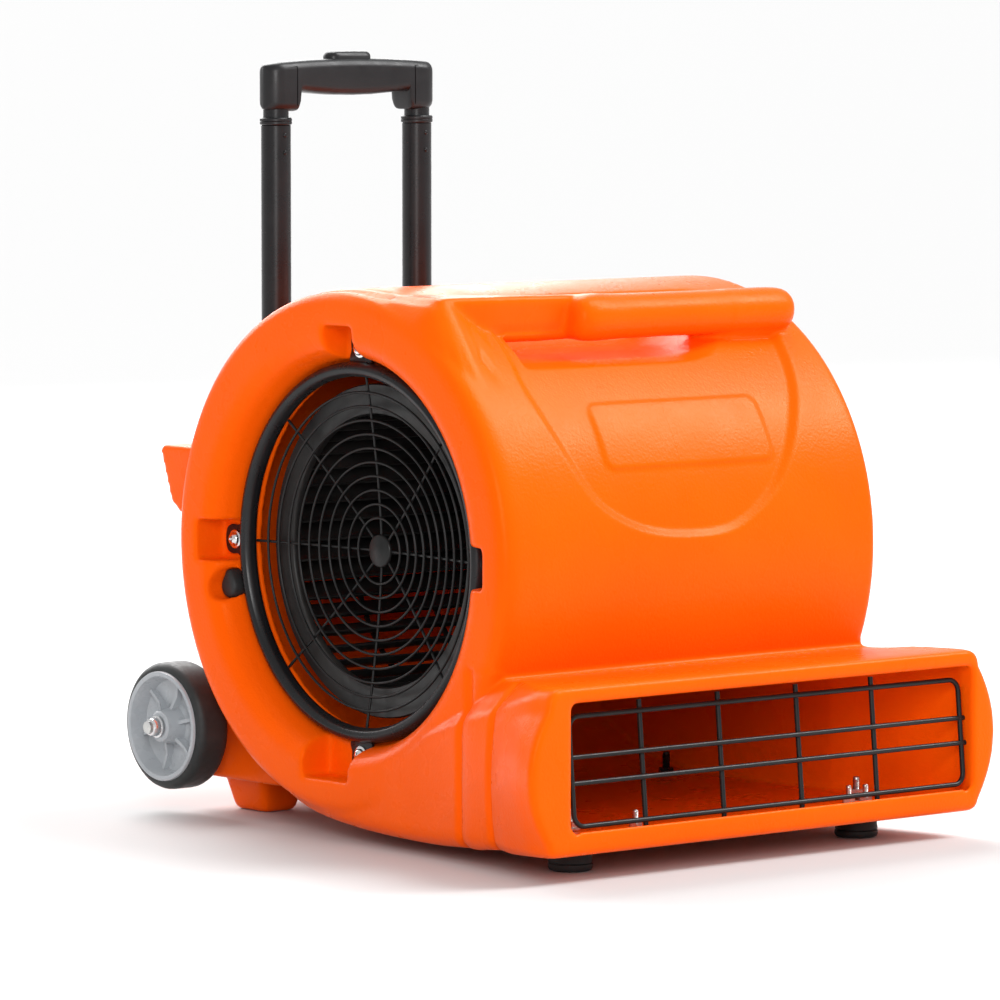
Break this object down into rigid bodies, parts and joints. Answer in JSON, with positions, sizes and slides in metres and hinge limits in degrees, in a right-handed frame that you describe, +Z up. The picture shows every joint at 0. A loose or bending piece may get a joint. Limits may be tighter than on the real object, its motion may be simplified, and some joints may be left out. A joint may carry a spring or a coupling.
{
  "type": "air mover",
  "caption": "Low-profile floor and carpet blower: rotomoulded snail housing, caged side intake, wide guarded outlet duct, sliding trolley handle and rear wheels.",
  "frame": {"origin": "bottom centre of the bounding box, on the floor under the machine", "axes": "+X along the drum from the intake side to the motor side, -Y towards the outlet, +Z up"},
  "size_m": [0.4762, 0.5658, 0.608],
  "materials": {
    "orange_shell": "semi-gloss rotomoulded polyethylene with a fine pebble texture",
    "black_painted_steel": "semi-gloss black",
    "black_coated_wire": "satin black coated wire",
    "plated_screws": "bright plated",
    "zinc_steel": "zinc plated",
    "black_rubber": "matte",
    "tyre_rubber": "matte",
    "grey_wheel_plastic": "satin",
    "black_plastic": "satin, fine grain",
    "impeller_plastic": "satin",
    "motor_paint": "satin",
    "stator_windings": "varnished copper windings",
    "rotor_core_steel": "plain steel",
    "capacitor_can": "satin"
  },
  "bodies": {
    "housing": {"axle": "zinc_steel", "axle_nut_left": "plated_screws", "axle_nut_right": "plated_screws", "bearing_carrier": "motor_paint", "bearing_front": "rotor_core_steel", "bearing_rear": "rotor_core_steel", "cable_gland": "black_plastic", "capacitor": "capacitor_can", "clamp_screw_left": "plated_screws", "clamp_screw_right": "plated_screws", "control_panel": "black_plastic", "duct_plug": "black_rubber", "foot_bolt_left": "zinc_steel", "foot_bolt_right": "zinc_steel", "foot_nut_left": "zinc_steel", "foot_nut_right": "zinc_steel", "front_foot_left": "black_rubber", "front_foot_right": "black_rubber", "guard_bolt_left": "zinc_steel", "guard_bolt_right": "zinc_steel", "housing_shell": "orange_shell", "intake_guard": "black_coated_wire", "intake_ring": "black_painted_steel", "intake_screw_bottom": "plated_screws", "intake_screw_front": "plated_screws", "intake_screw_rear": "plated_screws", "intake_screw_top": "plated_screws", "motor_end_bell": "motor_paint", "motor_housing": "motor_paint", "motor_plate": "black_painted_steel", "outer_tube_left": "black_painted_steel", "outer_tube_right": "black_painted_steel", "outlet_guard": "black_coated_wire", "plate_screw_1": "plated_screws", "plate_screw_2": "plated_screws", "plate_screw_3": "plated_screws", "plate_screw_4": "plated_screws", "speed_switch": "black_plastic", "stator": "stator_windings", "tube_clamp": "black_painted_steel", "tube_collar_left": "black_plastic", "tube_collar_right": "black_plastic"},
    "impeller": {"impeller": "impeller_plastic", "rotor_core": "rotor_core_steel", "motor_shaft": "zinc_steel", "impeller_nut": "zinc_steel"},
    "wheel_left": {"wheel_rim_left": "grey_wheel_plastic", "tyre_left": "tyre_rubber"},
    "wheel_right": {"wheel_rim_right": "grey_wheel_plastic", "tyre_right": "tyre_rubber"},
    "handle": {"grip": "black_plastic", "inner_tube_left": "black_painted_steel", "inner_tube_right": "black_painted_steel", "button_spring": "zinc_steel"},
    "release_button": {"release_button": "black_plastic"},
    "speed_knob": {"speed_knob": "black_plastic"}
  },
  "joints": [
    {"name": "impeller_spin", "type": "hinge", "parent": "housing", "child": "impeller", "pos_m": [0, 0.008, 0.224], "axis": [1, 0, 0], "continuous": true},
    {"name": "wheel_left_spin", "type": "hinge", "parent": "housing", "child": "wheel_left", "pos_m": [-0.174, 0.2318, 0.0707], "axis": [1, 0, 0], "continuous": true},
    {"name": "wheel_right_spin", "type": "hinge", "parent": "housing", "child": "wheel_right", "pos_m": [0.174, 0.2318, 0.0707], "axis": [1, 0, 0], "continuous": true},
    {"name": "handle_slide", "type": "slide", "parent": "housing", "child": "handle", "axis": [0, 0, 1], "range_m": [0, 0.3]},
    {"name": "release_button_press", "type": "slide", "parent": "handle", "child": "release_button", "axis": [0, 0, -1], "range_m": [0, 0.004], "stiffness_N_per_m": 400, "springref_m": -0.003, "deforming": ["button_spring"]},
    {"name": "speed_knob_turn", "type": "hinge", "parent": "housing", "child": "speed_knob", "pos_m": [0.195, 0.106, 0.334], "axis": [1, 0, 0], "range_deg": [0, 135]}
  ]
}
